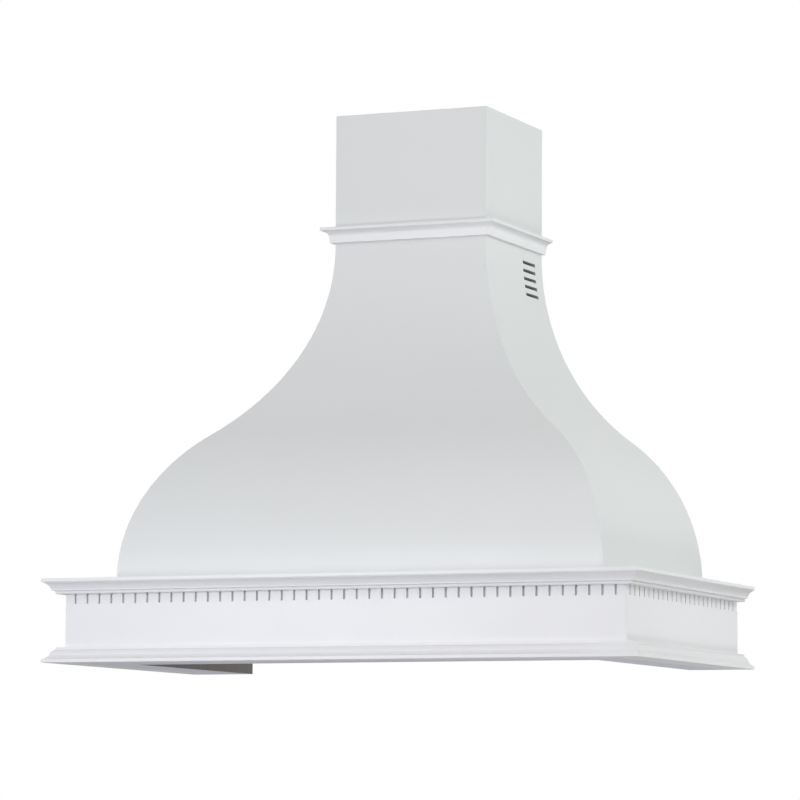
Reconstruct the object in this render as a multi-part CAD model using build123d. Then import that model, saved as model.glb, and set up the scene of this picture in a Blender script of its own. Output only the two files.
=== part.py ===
"""Painted wooden range hood cover: a bell-shaped canopy between a moulded shelf band and a
plain chimney, fixed to a kitchen wall over an extractor.

Millimetres. +Z is up, +X is to the right of someone who faces the hood, and the front is
towards -Y. The origin is the middle of the footprint, level with the underside, and the
wall is the plane y = wall_y. A depth is measured out from that wall, towards the front.
"""
import os
from math import atan, degrees, floor, sin

from build123d import *

overall_height = 822.0        # underside to the top of the chimney

# --- shelf band: three mitred boards, a board under them and a deck on top
band_width = 862.0            # outside of the side boards
band_depth = 478.0            # wall to the face of the front board
band_height = 121.3           # underside to the top of the deck
band_board = 18.0             # thickness of the three upright boards
underside_board = 18.0
deck_board = 18.0
cutout_side_strip = 74.6      # band's face to the cut-out for the extractor
cutout_front_strip = 86.4
corner_block = 40.0           # legs of the glue blocks in the front corners

# --- row of saw kerfs along the top of the band
kerf_pitch = 19.3
kerf_width = 3.2
kerf_depth = 4.0
kerf_showing = 14.0           # height that shows below the shelf crown
kerf_front_margin = 16.0      # least plain length at each end of the front board
kerf_side_margin = 10.0       # least plain length behind the front corner
kerf_wall_gap = 1.5           # wall to the middle of the last kerf, which runs out there

# --- base moulding: ledge, fillet, rounded shoulder, hollow and square toe
base_height = 22.3
base_ledge = 10.2
base_fillet = 3.3
base_step = 1.2
base_shoulder_run = 5.5
base_shoulder_drop = 7.8
base_shoulder_radius = 12.0
base_hollow_run = 8.0
base_hollow_radius = 14.0
base_toe_run = 1.1
base_toe_height = 5.0

# --- shelf crown: fillet, riser, shallow cove, lip, quirk and bead, from the top down
crown_fillet = 4.8
crown_step = 1.8
crown_riser = 1.8             # upright between the fillet and the cove
crown_cove_run = 9.5
crown_cove_drop = 9.4
crown_cove_radius = 14.0
crown_lip = 1.2
crown_quirk = 6.4
crown_neck = 0.4
crown_bead = 2.2              # radius of the half-round bead
crown_bed = 9.3               # band's face to the middle of the bead

# --- bell: an ogee from the deck up to the chimney, on three sides
ledge = 54.0                  # bell's foot set back from the band's faces
bell_skin = 8.0               # bending plywood, two layers glued together
bell_foot = 2.8               # straight foot below the curve
bell_belly = 215.1            # height of the round lower curve
bell_neck = 286.9             # height of the hollow upper curve
bell_collar = 8.7             # straight top above the curve

# --- chimney and the moulding that covers its joint with the bell
chimney_width = 242.0
chimney_depth = 226.0
chimney_board = 12.0
chimney_batten = 20.0
collar_rise = 17.9            # moulding's top above the joint
collar_fillet = 4.8
collar_step = 1.4
collar_cove = 9.2
collar_band = 8.6
collar_bed = 7.2              # bell's face to the top of the band
collar_taper = 1.2            # how far the band leans in at its foot

# --- frame inside the bell
rib_board = 18.0
rib_width = 34.0              # square to the curve
hip_batten = 20.0
sole_height = 18.0
front_rib_x = 60.0
front_jack_rib_x = 230.0
side_rib_depth = 116.0
side_jack_rib_depth = 250.0

# --- duct board, wall rails and their holes
duct_board = 18.0
duct_hole = 156.0             # for a 150 mm duct
duct_depth = 116.0            # wall to the duct's axis
rail_board = 18.0
rail_width = 70.0
lower_rail_rise = 154.5       # deck's top to the rail's middle
upper_rail_drop = 79.0        # bell's top to the rail's middle
chimney_rail_drop = 18.0      # chimney's top to its rail
stud_spacing = 406.4
upper_screw_spacing = 100.0
wall_screw_hole = 6.0

# --- vent slots, five in each side of the bell
slot_count = 5
slot_length = 50.0
slot_height = 4.8
slot_pitch = 12.2
slot_wall_gap = 29.5
slot_top_drop = 25.0          # bell's top to the middle of the highest slot

# --- hex-head wood screws
screw_length = 33.0           # under the head
screw_shank = 4.0
screw_head = 8.0              # across the flats
screw_head_height = 2.8

# --- places that follow from the sizes above
base_projection = base_ledge + base_step + base_shoulder_run + base_hollow_run + base_toe_run
crown_projection = crown_bed + crown_quirk + crown_cove_run + crown_step
overall_depth = band_depth + max(base_projection, crown_projection)
wall_y = overall_depth / 2
band_half = band_width / 2
deck_bottom = band_height - deck_board
crown_height = (crown_fillet + crown_riser + crown_cove_drop + crown_lip + crown_neck
                + 2 * crown_bead)
curve_bottom = band_height + bell_foot
curve_top = curve_bottom + bell_belly + bell_neck
bell_top = curve_top + bell_collar
chimney_half = chimney_width / 2
sole_top = band_height + sole_height
duct_board_bottom = bell_top - duct_board
rib_inset = bell_skin + rib_width
hip_inset = bell_skin + hip_batten
side_reach = (band_half - ledge, chimney_half)         # bell's foot and top, from the middle
front_reach = (band_depth - ledge, chimney_depth)      # bell's foot and top, from the wall
clear = 100.0                                          # how far a cutting shape runs past

SIDE_PLANE = Plane(origin=(0, wall_y, 0), x_dir=(1, 0, 0), z_dir=(0, -1, 0))
FRONT_PLANE = Plane(origin=(0, wall_y, 0), x_dir=(0, -1, 0), z_dir=(-1, 0, 0))


# ---------------------------------------------------------------- general shapes
def at_depth(depth):
    """The y of a point at this depth from the wall."""
    return wall_y - depth


def block(x_low, x_high, depth_low, depth_high, z_low, z_high):
    """A square-cut piece between two limits on each axis."""
    size = (x_high - x_low, depth_high - depth_low, z_high - z_low)
    middle = ((x_low + x_high) / 2, at_depth((depth_low + depth_high) / 2), (z_low + z_high) / 2)
    return Pos(*middle) * Box(*size)


def slab(z_low, z_high):
    """Everything between two heights."""
    return block(-band_width, band_width, -clear, 2 * band_depth, z_low, z_high)


def mirrored(piece):
    """The same piece on the other side of the hood."""
    return mirror(piece, about=Plane.YZ)


def front_mitre(half_width, depth):
    """Space of the front length of a frame, bounded by the two mitres."""
    front = at_depth(depth)
    plan = make_face(Polyline(
        (-half_width - clear, front - clear), (half_width + clear, front - clear),
        (half_width - clear, front + clear), (-half_width + clear, front + clear), close=True))
    return extrude(plan, amount=2 * overall_height, dir=(0, 0, 1), both=True)


def side_mitre(half_width, depth):
    """Space of the right-hand length of a frame, from its mitre back to the wall."""
    front = at_depth(depth)
    plan = make_face(Polyline(
        (half_width + clear, front - clear), (half_width + clear, wall_y),
        (half_width - clear, wall_y), (half_width - clear, front + clear), close=True))
    return extrude(plan, amount=2 * overall_height, dir=(0, 0, 1), both=True)


def mitred_frame(section, half_width, depth):
    """Carry a section round the front and both sides. Its x runs out from the face."""
    front_plane = Plane(origin=(0, at_depth(depth), 0), x_dir=(0, -1, 0), z_dir=(-1, 0, 0))
    side_plane = Plane(origin=(half_width, wall_y, 0), x_dir=(1, 0, 0), z_dir=(0, -1, 0))
    front = extrude(front_plane * section, amount=half_width + clear, dir=(1, 0, 0), both=True)
    side = extrude(side_plane * section, amount=depth + clear, dir=(0, -1, 0))
    right = side & side_mitre(half_width, depth)
    return {"front": front & front_mitre(half_width, depth), "right": right, "left": mirrored(right)}


def board_section(thickness, z_low, z_high):
    """Section of an upright board whose outer face is at x = 0."""
    return make_face(Polyline((-thickness, z_low), (0, z_low), (0, z_high), (-thickness, z_high),
                              close=True))


def u_board(half_width, depth, opening_half, opening_depth, z_low, z_high):
    """A level board with a cut-out that is open at the wall."""
    board = block(-half_width, half_width, 0, depth, z_low, z_high)
    return board - block(-opening_half, opening_half, -clear, opening_depth, z_low - clear,
                         z_high + clear)


def screw(x, depth, z, points_up):
    """A hex-head wood screw whose head bears on the face at z."""
    head = extrude(RegularPolygon(screw_head / 2, 6, major_radius=False), amount=-screw_head_height)
    shank = extrude(Circle(screw_shank / 2), amount=screw_length)
    turn = 0 if points_up else 180
    return Pos(x, at_depth(depth), z) * Rot(turn, 0, 0) * (head + shank)


# ---------------------------------------------------------------- mouldings
def base_section():
    """Base moulding: ledge, fillet, convex shoulder, concave hollow and square toe."""
    fillet_z = base_height - base_fillet
    step_x = base_ledge + base_step
    shoulder_x = step_x + base_shoulder_run
    shoulder_z = fillet_z - base_shoulder_drop
    hollow_x = shoulder_x + base_hollow_run
    ledge_line = Polyline((0, 0), (0, base_height), (base_ledge, base_height),
                          (base_ledge, fillet_z), (step_x, fillet_z))
    shoulder = RadiusArc((step_x, fillet_z), (shoulder_x, shoulder_z), base_shoulder_radius)
    hollow = RadiusArc((shoulder_x, shoulder_z), (hollow_x, base_toe_height), -base_hollow_radius)
    toe = Polyline((hollow_x, base_toe_height), (base_projection, base_toe_height),
                   (base_projection, 0), (0, 0))
    return make_face([*ledge_line.edges(), shoulder, hollow, *toe.edges()])


def crown_section():
    """Shelf crown: fillet, riser, shallow cove, lip, quirk and half-round bead."""
    cove_x = crown_bed + crown_quirk
    riser_x = cove_x + crown_cove_run
    fillet_z = band_height - crown_fillet
    riser_z = fillet_z - crown_riser
    cove_z = riser_z - crown_cove_drop
    lip_z = cove_z - crown_lip
    bead_z = lip_z - crown_neck
    foot_z = bead_z - 2 * crown_bead
    top = Polyline((0, foot_z), (0, band_height), (crown_projection, band_height),
                   (crown_projection, fillet_z), (riser_x, fillet_z), (riser_x, riser_z))
    cove = RadiusArc((riser_x, riser_z), (cove_x, cove_z), -crown_cove_radius)
    quirk = Polyline((cove_x, cove_z), (cove_x, lip_z), (crown_bed, lip_z), (crown_bed, bead_z))
    bead = ThreePointArc((crown_bed, bead_z), (crown_bed + crown_bead, bead_z - crown_bead),
                         (crown_bed, foot_z))
    bed = Line((crown_bed, foot_z), (0, foot_z))
    return make_face([*top.edges(), cove, *quirk.edges(), bead, bed])


def collar_section():
    """Moulding at the foot of the chimney: fillet, quarter-round cove and tapered band."""
    top_z = bell_top + collar_rise
    fillet_z = top_z - collar_fillet
    cove_z = fillet_z - collar_cove
    step_x = collar_bed + collar_cove
    tip_x = step_x + collar_step
    top = Polyline((0, top_z), (tip_x, top_z), (tip_x, fillet_z), (step_x, fillet_z))
    cove = RadiusArc((step_x, fillet_z), (collar_bed, cove_z), -collar_cove)
    foot = Polyline((collar_bed, cove_z), (collar_bed - collar_taper, cove_z - collar_band),
                    (0, cove_z - collar_band), (0, top_z))
    return make_face([*top.edges(), cove, *foot.edges()])


# ---------------------------------------------------------------- shelf band
def kerf(x, depth, along_x):
    """The space that one saw cut leaves, open at the board's top edge."""
    height = kerf_showing + crown_height - deck_board
    across = 2 * kerf_depth
    size = (kerf_width, across) if along_x else (across, kerf_width)
    return Pos(x, at_depth(depth), deck_bottom) * Box(*size, 2 * height)


def front_kerfs():
    """Kerfs of the front board, centred, as many as its length holds."""
    steps = floor((band_width - 2 * kerf_front_margin) / kerf_pitch)
    first = -steps * kerf_pitch / 2
    return [kerf(first + i * kerf_pitch, band_depth, True) for i in range(steps + 1)]


def side_kerfs():
    """Kerfs of the right-hand board, counted forward from the wall."""
    steps = floor((band_depth - kerf_side_margin - kerf_wall_gap) / kerf_pitch)
    return [kerf(band_half, kerf_wall_gap + i * kerf_pitch, False) for i in range(steps + 1)]


def band_parts():
    """Boards, mouldings, underside, deck and glue blocks of the shelf band."""
    boards = mitred_frame(board_section(band_board, 0, deck_bottom), band_half, band_depth)
    right = boards["right"] - side_kerfs()
    inner_half = band_half - band_board
    inner_depth = band_depth - band_board
    cutout_half = band_half - cutout_side_strip
    cutout_depth = band_depth - cutout_front_strip
    corner = make_face(Polyline(
        (inner_half, at_depth(inner_depth)), (inner_half - corner_block, at_depth(inner_depth)),
        (inner_half, at_depth(inner_depth - corner_block)), close=True))
    blocking = extrude(Pos(0, 0, underside_board) * corner,
                       amount=deck_bottom - underside_board, dir=(0, 0, 1))
    parts = {
        "frieze_front": boards["front"] - front_kerfs(),
        "frieze_right": right,
        "frieze_left": mirrored(right),
        "underside_board": u_board(inner_half, inner_depth, cutout_half, cutout_depth,
                                   0, underside_board),
        "shelf_deck": u_board(band_half, band_depth, side_reach[0] - rib_inset,
                              front_reach[0] - rib_inset, deck_bottom, band_height),
        "corner_block_right": blocking,
        "corner_block_left": mirrored(blocking),
    }
    for side, piece in mitred_frame(base_section(), band_half, band_depth).items():
        parts["base_moulding_" + side] = piece
    for side, piece in mitred_frame(crown_section(), band_half, band_depth).items():
        parts["shelf_crown_" + side] = piece
    return parts


# ---------------------------------------------------------------- bell
def bell_curve(reach, inset):
    """Edges of the bell's ogee from its foot up, moved in square to the curve by inset."""
    foot_reach, top_reach = reach
    height = bell_belly + bell_neck
    bend = 2 * atan((foot_reach - top_reach) / height)
    belly_radius = bell_belly / sin(bend) - inset
    neck_radius = bell_neck / sin(bend) + inset
    foot = Line((foot_reach - inset, band_height), (foot_reach - inset, curve_bottom))
    belly = JernArc(foot @ 1, (0, 1), belly_radius, degrees(bend))
    neck = JernArc(belly @ 1, belly % 1, neck_radius, -degrees(bend))
    collar = Line(neck @ 1, (top_reach - inset, bell_top))
    return [foot, belly, neck, collar]


def bell_strip(reach, outer_inset, inner_inset):
    """Section of a skin or a rib, between two of these curves."""
    outer = bell_curve(reach, outer_inset)
    inner = bell_curve(reach, inner_inset)
    return make_face([*outer, Line(outer[-1] @ 1, inner[-1] @ 1), *inner,
                      Line(outer[0] @ 0, inner[0] @ 0)])


def bell_filling(reach, inset):
    """Section of everything inside such a curve, back to the middle or the wall."""
    curve = bell_curve(reach, inset)
    return make_face([*curve, Line(curve[-1] @ 1, (0, bell_top)), Line((0, bell_top), (0, band_height)),
                      Line((0, band_height), curve[0] @ 0)])


def side_strip(outer_inset, inner_inset, depth_low, depth_high):
    """A length of the right-hand side's skin or rib."""
    section = SIDE_PLANE * bell_strip(side_reach, outer_inset, inner_inset)
    length = extrude(section, amount=depth_high - depth_low, dir=(0, -1, 0))
    return Pos(0, -depth_low, 0) * length


def front_strip(outer_inset, inner_inset, x_low, x_high):
    """A length of the front's skin or rib."""
    section = FRONT_PLANE * bell_strip(front_reach, outer_inset, inner_inset)
    length = extrude(section, amount=x_high - x_low, dir=(1, 0, 0))
    return Pos(x_low, 0, 0) * length


def inside_sides(inset):
    """The space between the two sides, in from their outer faces by inset."""
    half = extrude(SIDE_PLANE * bell_filling(side_reach, inset), amount=front_reach[0] + clear,
                   dir=(0, -1, 0))
    return half + mirrored(half)


def inside_front(inset):
    """The space behind the front, in from its outer face by inset."""
    return extrude(FRONT_PLANE * bell_filling(front_reach, inset), amount=side_reach[0] + clear,
                   dir=(1, 0, 0), both=True)


def vent_slots():
    """The spaces of the slots in the right-hand side."""
    top_z = bell_top - slot_top_drop
    return [block(chimney_half - clear, side_reach[0], slot_wall_gap, slot_wall_gap + slot_length,
                  top_z - i * slot_pitch - slot_height / 2, top_z - i * slot_pitch + slot_height / 2)
            for i in range(slot_count)]


def skin_parts():
    """The front skin laps over the front edges of the two side skins."""
    full = side_reach[0]
    front = front_strip(0, bell_skin, -full, full) & inside_sides(0)
    right = side_strip(0, bell_skin, 0, front_reach[0]) & inside_front(bell_skin)
    right = right - vent_slots()
    return {"bell_front": front, "bell_right": right, "bell_left": mirrored(right)}


def frame_parts():
    """Soles on the deck, ribs that carry the skins and battens behind the two hips."""
    full = side_reach[0]
    reach = front_reach[0]
    in_sole = slab(band_height, sole_top)
    in_bell = slab(sole_top, duct_board_bottom)
    behind_hip = inside_front(hip_inset)
    beside_hip = inside_sides(hip_inset)

    def side_rib(depth):
        return side_strip(bell_skin, rib_inset, depth - rib_board / 2, depth + rib_board / 2)

    def front_rib(x):
        return front_strip(bell_skin, rib_inset, x - rib_board / 2, x + rib_board / 2)

    right = {
        "sole": side_strip(bell_skin, rib_inset, 0, reach) & inside_front(rib_inset) & in_sole,
        "hip_batten": side_strip(bell_skin, hip_inset, 0, reach)
        & front_strip(bell_skin, hip_inset, -full, full) & in_bell,
        "rear_rib": side_rib(rib_board / 2) & in_bell,
        "side_rib": side_rib(side_rib_depth) & in_bell,
        "side_jack_rib": side_rib(side_jack_rib_depth) & behind_hip & in_bell,
        "front_rib": front_rib(front_rib_x) & in_bell,
        "front_jack_rib": front_rib(front_jack_rib_x) & beside_hip & in_bell,
    }
    parts = {name + "_right": piece for name, piece in right.items()}
    parts["sole_front"] = front_strip(bell_skin, rib_inset, -full, full) & inside_sides(bell_skin) & in_sole
    return parts


def wall_rail(middle, hole_spacing):
    """A rail between the rear ribs, with a hole for a wall screw at each end."""
    rail = inside_sides(rib_inset) & slab(middle - rail_width / 2, middle + rail_width / 2)
    rail = rail & block(-band_width, band_width, 0, rail_board, 0, overall_height)
    hole = Rot(90, 0, 0) * Cylinder(wall_screw_hole / 2, 4 * rail_board)
    return rail - [Pos(side * hole_spacing / 2, wall_y, middle) * hole for side in (-1, 1)]


def rail_parts():
    """Rails in the plane of the wall, and the board that the duct passes through."""
    inner_half = chimney_half - bell_skin
    board = block(-inner_half, inner_half, 0, chimney_depth - bell_skin, duct_board_bottom, bell_top)
    hole = Pos(0, at_depth(duct_depth), bell_top) * Cylinder(duct_hole / 2, 4 * duct_board)
    return {
        "lower_wall_rail": wall_rail(band_height + lower_rail_rise, stud_spacing),
        "upper_wall_rail": wall_rail(bell_top - upper_rail_drop, upper_screw_spacing),
        "duct_board": board - hole,
    }


# ---------------------------------------------------------------- chimney
def chimney_parts():
    """Three mitred boards, battens in the corners, a rail at the wall and the collar."""
    section = board_section(chimney_board, bell_top, overall_height)
    boards = mitred_frame(section, chimney_half, chimney_depth)
    inner_half = chimney_half - chimney_board
    inner_depth = chimney_depth - chimney_board
    rail_top = overall_height - chimney_rail_drop
    batten = block(inner_half - chimney_batten, inner_half, inner_depth - chimney_batten, inner_depth,
                   bell_top, rail_top)
    parts = {"chimney_" + side: piece for side, piece in boards.items()}
    for side, piece in mitred_frame(collar_section(), chimney_half, chimney_depth).items():
        parts["collar_moulding_" + side] = piece
    parts["chimney_batten_right"] = batten
    parts["chimney_batten_left"] = mirrored(batten)
    parts["chimney_rail"] = block(-inner_half, inner_half, 0, rail_board, rail_top - rail_width, rail_top)
    return parts


# ---------------------------------------------------------------- screws
def sole_screws():
    """Screws driven up through the deck into the soles."""
    front_depth = front_reach[0] - bell_skin - rib_width / 2
    side_x = side_reach[0] - bell_skin - rib_width / 2
    places = [(front_jack_rib_x, front_depth), (side_x, side_rib_depth), (side_x, side_jack_rib_depth)]
    return [screw(side * x, depth, deck_bottom, True) for side in (-1, 1) for x, depth in places]


def duct_board_screws():
    """Screws driven down through the duct board into the tops of the ribs."""
    rear_x = chimney_half - bell_skin - rib_width / 2
    front_depth = chimney_depth - bell_skin - rib_width / 2
    places = [(rear_x, rib_board / 2), (front_rib_x, front_depth)]
    return [screw(side * x, depth, bell_top, False) for side in (-1, 1) for x, depth in places]


def add_screws(parts):
    """Bore the pieces that the screws hold together, and add the two groups of screws."""
    groups = {
        "sole_screws": (sole_screws(), ("shelf_deck", "sole_front", "sole_right")),
        "duct_board_screws": (duct_board_screws(), ("duct_board", "rear_rib_right", "front_rib_right")),
    }
    for name, (screws, held) in groups.items():
        for node in held:
            parts[node] = parts[node] - screws
        parts[name] = Compound(children=screws)


# ---------------------------------------------------------------- the whole hood
def hood():
    """Every node of the hood, by name."""
    parts = band_parts() | skin_parts() | frame_parts() | rail_parts() | chimney_parts()
    add_screws(parts)
    for name in [name for name in parts if name.endswith("_right")]:
        left = name.replace("_right", "_left")
        if left not in parts:
            parts[left] = mirrored(parts[name])
    return parts


os.makedirs("parts", exist_ok=True)
for node, solid in hood().items():
    export_step(solid, "parts/" + node + ".step")
print("nodes", len(os.listdir("parts")), "overall depth", overall_depth)
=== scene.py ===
# %% [markdown]
# # A painted wooden range hood cover
#
# A joiner builds this cover in two halves: a low moulded band that hides the extractor, and a bell of
# bent plywood that narrows to a square chimney. The solids come from the CAD frame, and this notebook
# dresses them: it lays smooth, eased surfaces over the frame, paints them, and leaves the inside bare.
#
# The frame is loaded first, because the sizes that the solids fix are read from it.

import bmesh
import bpy
import numpy as np
from mathutils import Matrix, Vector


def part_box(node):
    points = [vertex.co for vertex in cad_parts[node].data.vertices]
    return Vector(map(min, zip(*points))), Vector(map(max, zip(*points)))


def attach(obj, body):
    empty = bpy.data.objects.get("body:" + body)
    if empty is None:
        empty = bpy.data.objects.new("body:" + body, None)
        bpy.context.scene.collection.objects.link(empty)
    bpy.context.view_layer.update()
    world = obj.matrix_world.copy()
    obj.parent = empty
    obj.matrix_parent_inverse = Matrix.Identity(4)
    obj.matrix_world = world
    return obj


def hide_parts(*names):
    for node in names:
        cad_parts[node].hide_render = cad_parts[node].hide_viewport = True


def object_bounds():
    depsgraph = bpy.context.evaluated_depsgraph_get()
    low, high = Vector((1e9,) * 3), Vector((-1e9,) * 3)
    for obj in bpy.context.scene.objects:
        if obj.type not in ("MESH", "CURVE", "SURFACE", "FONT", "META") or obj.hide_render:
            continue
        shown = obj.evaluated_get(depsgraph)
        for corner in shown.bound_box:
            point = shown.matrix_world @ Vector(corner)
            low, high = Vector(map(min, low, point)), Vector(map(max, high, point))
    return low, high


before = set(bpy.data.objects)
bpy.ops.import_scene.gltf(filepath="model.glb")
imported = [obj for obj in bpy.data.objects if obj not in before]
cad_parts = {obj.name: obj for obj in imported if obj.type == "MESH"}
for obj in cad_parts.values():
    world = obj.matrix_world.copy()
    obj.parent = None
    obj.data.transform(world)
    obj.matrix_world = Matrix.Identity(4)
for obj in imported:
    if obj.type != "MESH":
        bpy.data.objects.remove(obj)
cad_box = [list(corner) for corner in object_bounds()]
print("frame:", len(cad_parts), "nodes, from", cad_box[0], "to", cad_box[1])

# %% [markdown]
# ## The sizes that the frame fixes
#
# A box round a CAD node gives a face of the real piece: the front of the frieze, the top of the deck.
# Lengths are in metres and the hood hangs on the plane y = `wall`. A *reach* is how far a surface stands
# out: from the middle for the two sides, and from the wall for the front.

# %% Read places from the frame
MM = 0.001


def sides(node_name):
    """The lowest and highest x, y and z of a CAD node, as three pairs."""
    low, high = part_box(node_name)
    return [(low[axis], high[axis]) for axis in range(3)]


wall = cad_box[1][1]
(_, band_half), (band_front, _), (_, deck_bottom) = sides("frieze_front")
(_, bell_half), (bell_front, _), (deck_top, bell_top) = sides("bell_front")
(_, chimney_half), (chimney_front, _), (_, chimney_top) = sides("chimney_front")
side_reach = (bell_half, chimney_half)
front_reach = (wall - bell_front, wall - chimney_front)
print("band", 2 * band_half, "wide; bell", bell_top - deck_top, "high; chimney top", chimney_top)

# %% [markdown]
# ## From points to a piece
#
# Every new piece is a grid of points worked out by numpy. One function joins such a grid into quads, and
# another makes them a mesh, welds it, points its faces outwards and hangs it on the frame. Wide flat
# faces next to a small rounded arris would shade like a pillow, so each arris is made with a *holding*
# line on either side: a row of points close by, that keeps the flat face flat.

# %% Grids, welding and riding
HOLD = 0.25 * MM               # distance of a holding line from its arris
SHARP = np.radians(33)         # faces that meet at more than this stay crisp
WELD = 1e-7                    # points nearer than this are one


def grid_quads(rows, columns, closed=False):
    """Quads between neighbouring rows and columns of points; closed joins the last column to the first."""
    index = np.arange(rows * columns).reshape(rows, columns)
    if closed:
        index = np.hstack([index, index[:, :1]])
    corners = [index[:-1, :-1], index[:-1, 1:], index[1:, 1:], index[1:, :-1]]
    return np.stack(corners, axis=-1).reshape(-1, 4)


def hang(obj, node_name, material):
    """Gives a finished piece its material and lets it stand for one CAD node."""
    bpy.context.scene.collection.objects.link(obj)
    obj.data.materials.clear()
    obj.data.materials.append(material)
    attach(obj, "root")
    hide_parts(node_name)
    return obj


def add_piece(name, node_name, points, faces, material, slot, bare=None):
    """Welds points and faces into one closed piece whose faces point outwards.

    bare says of each face how much raw wood shows, from 0 to 1, or 2 for the slots' painted shade, and goes
    on the mesh.
    """
    mesh = bpy.data.meshes.new(name)
    mesh.from_pydata(points.reshape(-1, 3).tolist(), [], faces)
    shown = mesh.attributes.new("bare", "FLOAT", "FACE")
    shown.data.foreach_set("value", np.zeros(len(faces)) if bare is None else bare)
    work = bmesh.new()
    work.from_mesh(mesh)
    bmesh.ops.remove_doubles(work, verts=work.verts, dist=WELD)
    if work.calc_volume(signed=True) < 0:
        bmesh.ops.reverse_faces(work, faces=work.faces)
    work.to_mesh(mesh)
    work.free()
    mesh.shade_smooth()
    mesh.set_sharp_from_angle(angle=SHARP)
    return hang(bpy.data.objects.new(name, mesh), node_name, material)


# %% [markdown]
# ## Shader maths
#
# A material is a sum on paper before it is a web of nodes. The class below wraps one output socket and
# lets Python's own signs add the Math nodes, so a pattern reads as the formula that it is.

# %% A small language for shaders
def node(tree, kind, settings=None, values=None, output=0):
    """Adds any node: its settings first, then its sockets by name or number, and gives one output."""
    made = tree.nodes.new("ShaderNode" + kind)
    for setting, value in (settings or {}).items():
        setattr(made, setting, value)
    for socket, value in (values or {}).items():
        if isinstance(value, Signal):
            tree.links.new(value.socket, made.inputs[socket])
        else:
            made.inputs[socket].default_value = value
    return Signal(tree, made.outputs[output]) if len(made.outputs) else None


class Signal:
    """The value of one socket. Signs between signals and numbers add Math nodes."""

    def __init__(self, tree, socket):
        self.tree = tree
        self.socket = socket

    def maths(self, operation, *others):
        """One Math node of this operation, on this signal and then the others."""
        return node(self.tree, "Math", {"operation": operation}, dict(enumerate((self, *others))))

    def __add__(self, other):
        return self.maths("ADD", other)

    def __sub__(self, other):
        return self.maths("SUBTRACT", other)

    def __rsub__(self, other):
        return self * -1.0 + other

    def __mul__(self, other):
        return self.maths("MULTIPLY", other)

    def __truediv__(self, other):
        return self.maths("DIVIDE", other)

    def __pow__(self, other):
        return self.maths("POWER", other)

    def __lt__(self, other):
        return self.maths("LESS_THAN", other)

    def __abs__(self):
        return self.maths("ABSOLUTE")

    __radd__ = __add__
    __rmul__ = __mul__

    def part(self):
        """What is left of a number above the whole number below it."""
        return self.maths("FRACT")

    def near(self, low, high):
        """Rises smoothly from 0 at low to 1 at high."""
        settings = {"interpolation_type": "SMOOTHSTEP"}
        return node(self.tree, "MapRange", settings, {0: self, 1: low, 2: high})


# %% [markdown]
# ### A finish in the making
#
# Every material on the hood begins and ends alike: an empty tree, the place of the shaded point in the
# object's own coordinates, and at last one Principled shader whose normal comes from a Bump node. The
# class below holds that, so a recipe says only what is special about its finish.

# %% Finishes
class Finish:
    """One material while it is being written: places, noises, colour mixes and the last shader."""

    def __init__(self, name):
        self.material = bpy.data.materials.new(name)
        self.material.use_nodes = True
        self.tree = self.material.node_tree
        self.tree.nodes.clear()
        self.place = node(self.tree, "TexCoord", output="Object")
        self.along = [node(self.tree, "SeparateXYZ", None, {0: self.place}, axis) for axis in range(3)]

    def noise(self, scale, stretch=(1, 1, 1), detail=2.0, rough=0.5):
        """Smooth noise from about 0 to 1, with scale features to the metre, times stretch on each axis."""
        spread = node(self.tree, "VectorMath", {"operation": "MULTIPLY"}, {0: self.place, 1: stretch})
        values = {"Vector": spread, "Scale": scale, "Detail": detail, "Roughness": rough}
        return node(self.tree, "TexNoise", None, values)

    def mix(self, share, first, second):
        """A colour that goes from first to second as share goes from 0 to 1."""
        values = {0: share, 6: first, 7: second}
        return node(self.tree, "Mix", {"data_type": "RGBA"}, values, 2)

    def attribute(self, name):
        """A number that the mesh carries on its faces."""
        return node(self.tree, "Attribute", {"attribute_name": name}, output=2)

    def close(self, colour, roughness, height, relief, metallic=0.0):
        """Ends the material: height, times relief in metres, becomes bumps under the light."""
        values = {"Height": height, "Distance": relief, "Strength": 1.0}
        normal = node(self.tree, "Bump", None, values)
        values = {"Base Color": colour, "Roughness": roughness, "Metallic": metallic, "Normal": normal}
        shader = node(self.tree, "BsdfPrincipled", None, values)
        node(self.tree, "OutputMaterial", None, {"Surface": shader})
        return self.material


def shade(colour, factor=1.0):
    """A colour times a factor, with full alpha."""
    return (*(factor * channel for channel in colour), 1.0)


# %% [markdown]
# ## Paint over wood
#
# The cover is sprayed with a satin white. Up close a sprayed coat is never dead flat: it has a fine
# *orange peel*, long soft clouds in its tone, and gloss that drifts a little. The mouldings and the
# frieze are a cool white and the bell a shade greyer, so each gets its own coat from one recipe.
#
# The inside and the edges against the wall are never painted. Two materials could show that, but a piece
# takes its finish from one slot, so one material holds both looks and blends them by the `bare` number
# of each face. The raw fibreboard is made darker and greyer as painted shade. A 2 stands for the walls
# of the vent slots, which get a dark grey-green: painted shade for the dark hollow behind them.

# %% The painted finishes
PLYWOOD = (0.56, 0.40, 0.23)
# raw fibreboard, made darker and greyer as painted shade for edges that lie in shadow
SHADED_FIBREBOARD = (0.225, 0.208, 0.204)
# dark grey-green painted shade for the vent slots' walls, the dark of the hollow behind them
SLOT_SHADE_TONE = (0.460, 0.530, 0.520)
SLOT_SHADE_BARE = 2.0                   # the bare number of a vent slot's wall, which gets painted shade


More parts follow.
